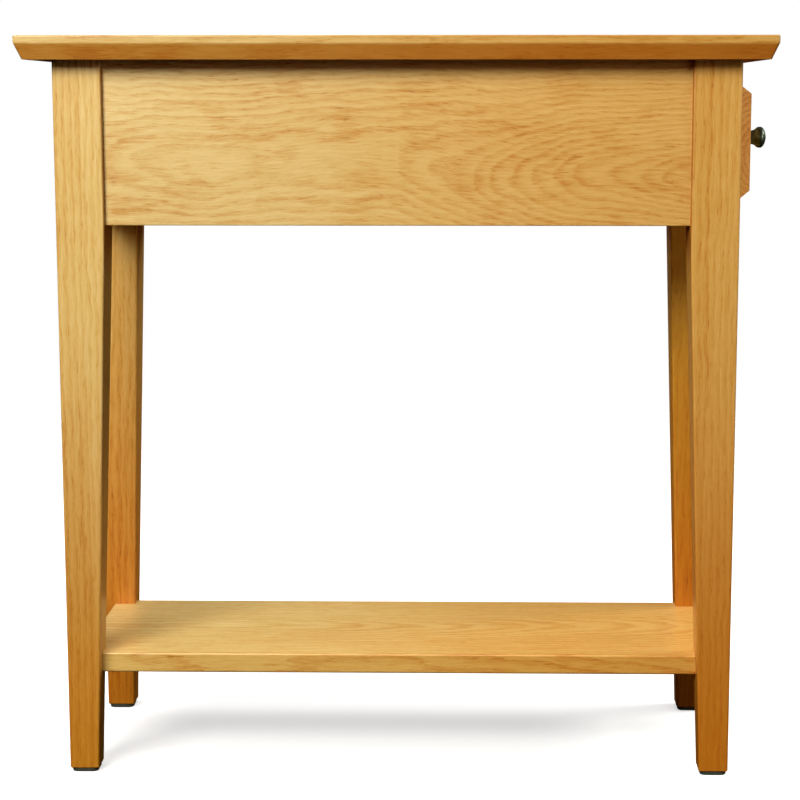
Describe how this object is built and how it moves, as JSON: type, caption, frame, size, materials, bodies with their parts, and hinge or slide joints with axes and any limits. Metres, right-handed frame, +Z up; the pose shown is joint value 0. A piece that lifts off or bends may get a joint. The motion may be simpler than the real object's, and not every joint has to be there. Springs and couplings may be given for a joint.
{
  "type": "side table with drawer",
  "caption": "Narrow wooden side table with tapered square legs, an undercut bevelled top, a lipped drawer with a round knob at one short end and a low open shelf.",
  "frame": {"origin": "on the floor, under the middle of the tabletop", "axes": "+Z up, +X to the right of somebody facing the drawer, the drawer opens towards -Y"},
  "size_m": [0.258, 0.6186, 0.618],
  "materials": {
    "honey_oak": "satin lacquer",
    "drawer_wood": "matte",
    "plywood": "matte",
    "dowel_wood": "matte",
    "dark_metal": "satin",
    "screw_steel": "satin",
    "foot_rubber": "matte"
  },
  "bodies": {
    "table": {"apron_dowels": "dowel_wood", "apron_left": "honey_oak", "apron_rear": "honey_oak", "apron_right": "honey_oak", "drawer_runner_left": "drawer_wood", "drawer_runner_right": "drawer_wood", "foot_pad_front_left": "foot_rubber", "foot_pad_front_right": "foot_rubber", "foot_pad_rear_left": "foot_rubber", "foot_pad_rear_right": "foot_rubber", "front_rail_bottom": "honey_oak", "front_rail_top": "honey_oak", "kicker_left": "drawer_wood", "kicker_right": "drawer_wood", "kicker_screws": "screw_steel", "leg_front_left": "honey_oak", "leg_front_right": "honey_oak", "leg_rear_left": "honey_oak", "leg_rear_right": "honey_oak", "lower_shelf": "honey_oak", "rail_dowels": "dowel_wood", "runner_screws": "screw_steel", "shelf_dowels": "dowel_wood", "stop_rail": "drawer_wood", "stop_rail_dowels": "dowel_wood", "tabletop": "honey_oak", "top_screws": "screw_steel"},
    "drawer": {"drawer_back": "drawer_wood", "drawer_back_dowels": "dowel_wood", "drawer_bottom": "plywood", "drawer_bottom_screws": "screw_steel", "drawer_front": "honey_oak", "drawer_front_dowels": "dowel_wood", "drawer_knob": "dark_metal", "drawer_side_left": "drawer_wood", "drawer_side_right": "drawer_wood", "drawer_stop": "drawer_wood", "drawer_stop_screws": "screw_steel", "knob_screw": "screw_steel"}
  },
  "joints": [
    {"name": "drawer_slide", "type": "slide", "parent": "table", "child": "drawer", "axis": [0, -1, 0], "range_m": [0, 0.3]}
  ]
}
